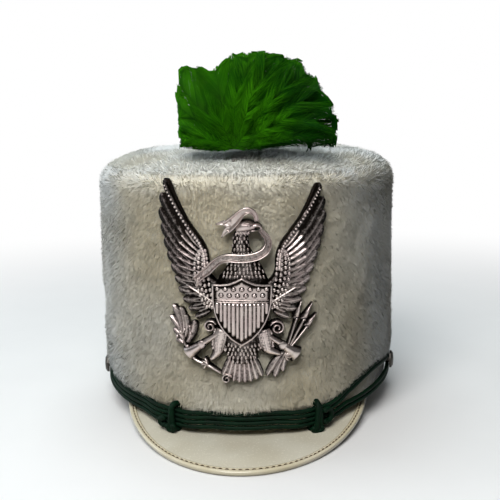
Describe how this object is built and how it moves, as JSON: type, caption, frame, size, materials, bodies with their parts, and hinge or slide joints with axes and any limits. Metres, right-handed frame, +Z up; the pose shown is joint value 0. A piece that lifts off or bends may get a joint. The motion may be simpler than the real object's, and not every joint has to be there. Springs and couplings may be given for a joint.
{
  "type": "marching band hat",
  "caption": "Marching band hat: tall oval crown covered in pale fur, with a curved peak, a corded band with slide knots, a cast eagle badge and a green feather plume.",
  "frame": {"origin": "middle of the hat's outline in plan, on the surface that it stands on", "axes": "-Y is the front, where the peak and the badge are; +X is on the right of someone who faces the badge; +Z is up"},
  "size_m": [0.1974, 0.2688, 0.2262],
  "materials": {
    "fur": "short dense pile",
    "shell_board": "matt",
    "peak_vinyl": "glossy patent",
    "binding_vinyl": "glossy, stitched",
    "cord": "satin braid",
    "antique_silver": "cast, with dark recesses",
    "plain_metal": "plain",
    "feather": "dyed feather"
  },
  "bodies": {
    "root": {"crown_shell": "shell_board", "side_fur": "fur", "top_fur": "fur", "peak": "peak_vinyl", "peak_binding": "binding_vinyl", "cord_inner_loop": "cord", "cord_outer_loop": "cord", "knot_left": "cord", "knot_right": "cord", "side_button_left": "antique_silver", "side_button_right": "antique_silver", "eagle_badge": "antique_silver", "badge_shield": "antique_silver", "badge_nut_upper": "plain_metal", "badge_nut_lower": "plain_metal", "plume": "feather", "plume_stem": "plain_metal"}
  },
  "joints": []
}
